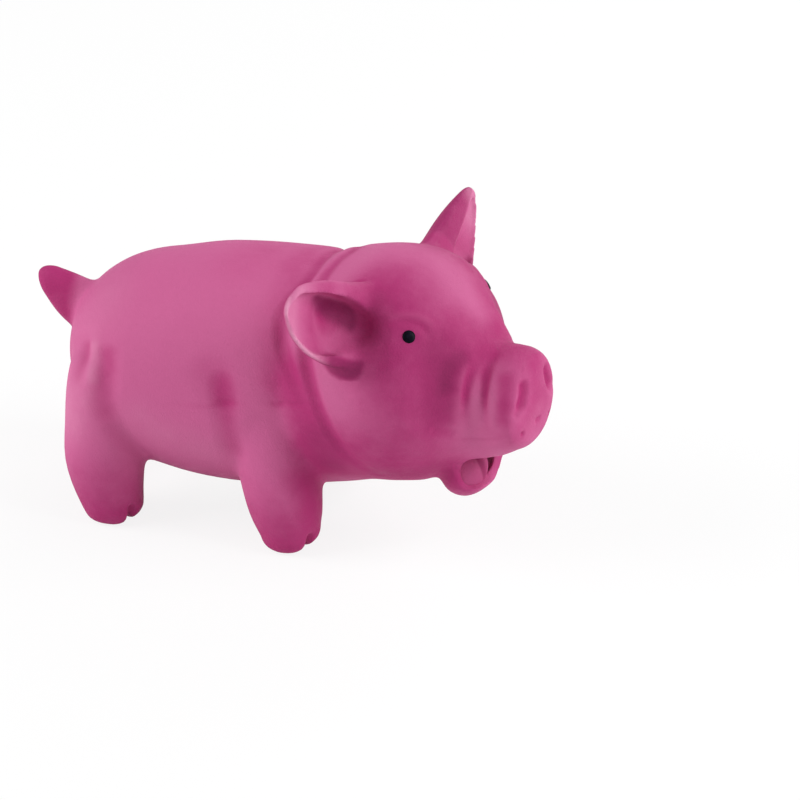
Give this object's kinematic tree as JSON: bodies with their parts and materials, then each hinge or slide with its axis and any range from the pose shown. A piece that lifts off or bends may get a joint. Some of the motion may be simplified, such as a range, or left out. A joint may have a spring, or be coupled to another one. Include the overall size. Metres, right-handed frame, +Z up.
{
  "type": "squeaky latex pig dog toy",
  "caption": "Stuffed moulded latex pig with a turned head, cupped ears, stub tail and open lower lip, standing on cloven feet round a belly squeaker that sounds when it is squeezed.",
  "frame": {"origin": "on the ground under the middle of the whole pig's box", "axes": "+X from tail to snout, +Y to the pig's left, +Z up"},
  "size_m": [0.2, 0.117, 0.117],
  "materials": {
    "pink_latex": "matte",
    "tongue_latex": "matte",
    "eye_paint": "gloss",
    "fibre_filling": "matte",
    "white_plastic": "satin",
    "reed_film": "satin"
  },
  "bodies": {
    "pig": {"body_skin": "pink_latex", "head_skin": "pink_latex", "front_right_leg": "pink_latex", "front_left_leg": "pink_latex", "rear_right_leg": "pink_latex", "rear_left_leg": "pink_latex", "right_eye": "eye_paint", "left_eye": "eye_paint", "body_filling": "fibre_filling", "head_filling": "fibre_filling", "front_right_leg_filling": "fibre_filling", "front_left_leg_filling": "fibre_filling", "rear_right_leg_filling": "fibre_filling", "rear_left_leg_filling": "fibre_filling", "vent_plug": "white_plastic", "reed_pipe": "white_plastic", "reed_seat": "white_plastic", "reed_wedge": "white_plastic", "bellows_folds": "white_plastic"},
    "right_ear": {"right_ear": "pink_latex"},
    "left_ear": {"left_ear": "pink_latex"},
    "tail": {"tail": "pink_latex"},
    "jaw": {"lower_jaw": "pink_latex", "tongue": "tongue_latex"},
    "bellows_top": {"bellows_crown": "white_plastic"},
    "reed": {"reed": "reed_film"}
  },
  "joints": [
    {"name": "right_ear_flex", "type": "hinge", "parent": "pig", "child": "right_ear", "pos_m": [0.03252, -0.03149, 0.09349], "axis": [0.0547, -0.5234, -0.8503], "range_deg": [-15, 20], "stiffness_Nm_per_rad": 0.01},
    {"name": "left_ear_flex", "type": "hinge", "parent": "pig", "child": "left_ear", "pos_m": [0.04856, 0.02837, 0.09349], "axis": [-0.3091, -0.4259, 0.8503], "range_deg": [-15, 20], "stiffness_Nm_per_rad": 0.01},
    {"name": "tail_flex", "type": "hinge", "parent": "pig", "child": "tail", "pos_m": [-0.08143, 0.005, 0.0701], "axis": [0.4067, 0, 0.9135], "range_deg": [-25, 25], "stiffness_Nm_per_rad": 0.01},
    {"name": "jaw_flex", "type": "hinge", "parent": "pig", "child": "jaw", "pos_m": [0.06052, -0.00691, 0.0356], "axis": [0.2588, 0.9659, 0], "range_deg": [-3, 12], "stiffness_Nm_per_rad": 0.02},
    {"name": "bellows_squeeze", "type": "slide", "parent": "pig", "child": "bellows_top", "axis": [0, 0, -1], "range_m": [0, 0.012], "stiffness_N_per_m": 60, "deforming": ["bellows_folds"]},
    {"name": "reed_flex", "type": "hinge", "parent": "pig", "child": "reed", "pos_m": [-0.02593, 0.005, 0.0141], "axis": [0, -1, 0], "range_deg": [0, 4], "stiffness_Nm_per_rad": 0.00005}
  ]
}
